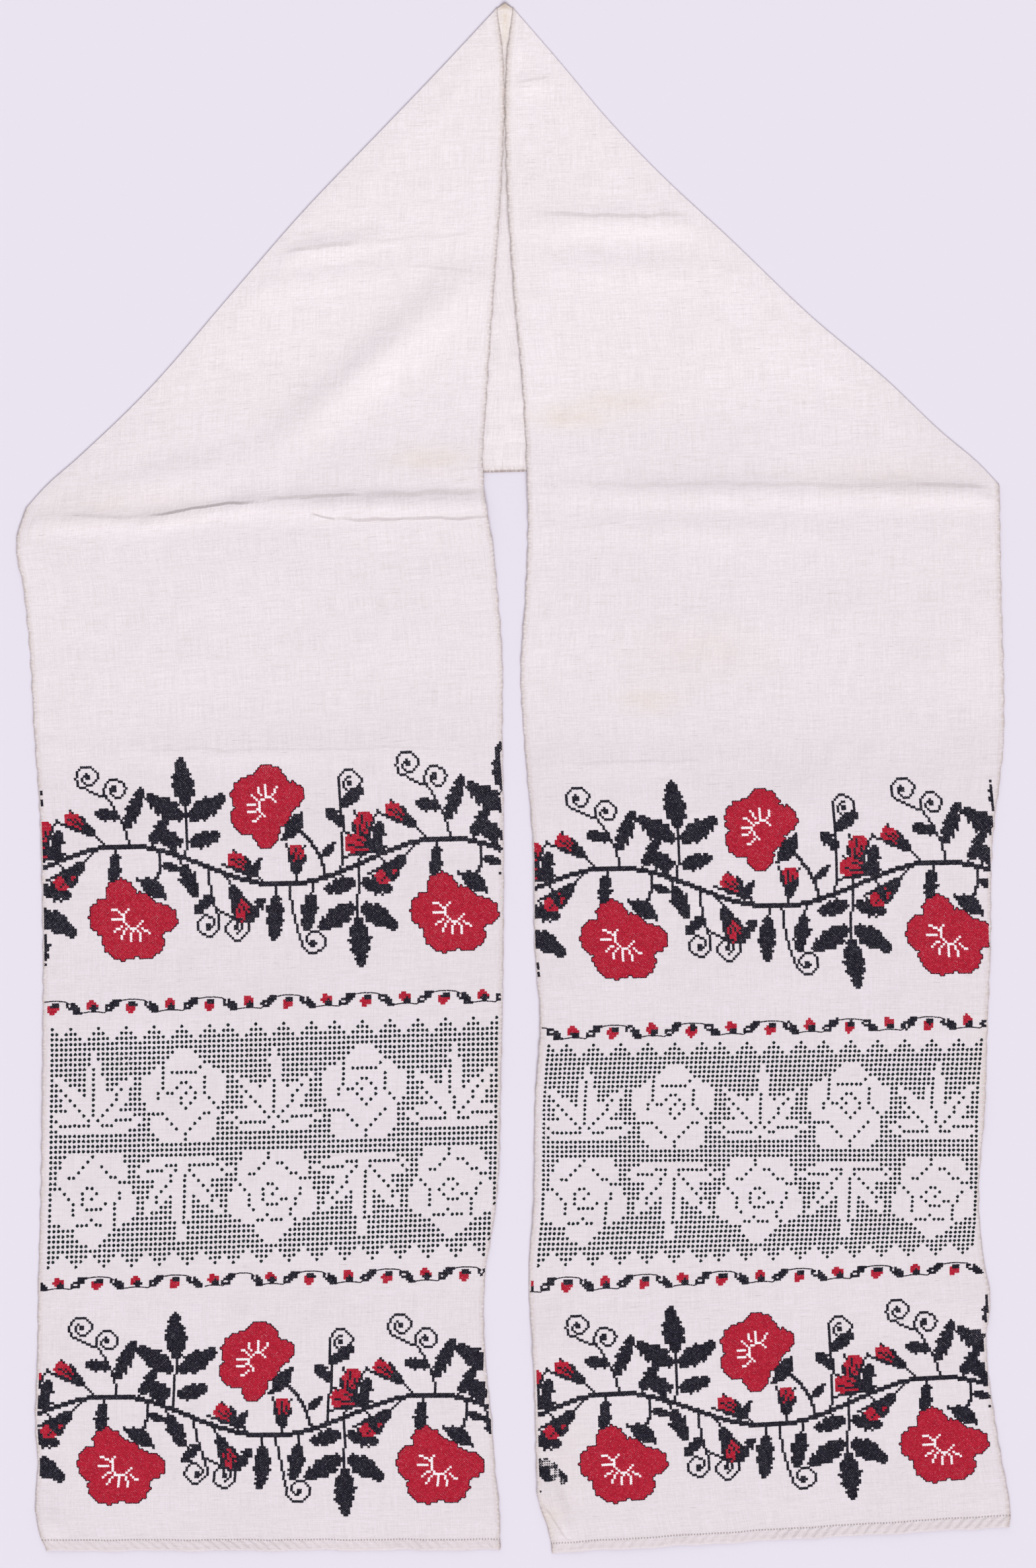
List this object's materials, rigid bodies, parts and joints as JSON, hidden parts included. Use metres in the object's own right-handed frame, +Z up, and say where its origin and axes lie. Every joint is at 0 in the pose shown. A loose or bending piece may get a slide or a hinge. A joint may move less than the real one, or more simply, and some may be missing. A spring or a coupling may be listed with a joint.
{
  "type": "rushnyk ritual towel",
  "caption": "Long embroidered linen ritual towel laid flat, its middle folded under on two slanting folds so that both worked ends lie side by side.",
  "frame": {"origin": "on the surface, under the middle of the laid-out cloth", "axes": "+Y from the hems towards the peak where the two folds meet, +X from the left end to the right one seen from above, +Z up off the surface"},
  "size_m": [0.8206, 1.28, 0.007],
  "materials": {
    "linen": "matte homespun plain weave",
    "red_thread": "matte cotton embroidery thread",
    "black_thread": "matte cotton embroidery thread",
    "grey_green_thread": "matte cotton embroidery thread",
    "white_thread": "matte linen sewing thread"
  },
  "bodies": {
    "root": {"towel_cloth": "linen"}
  },
  "joints": []
}
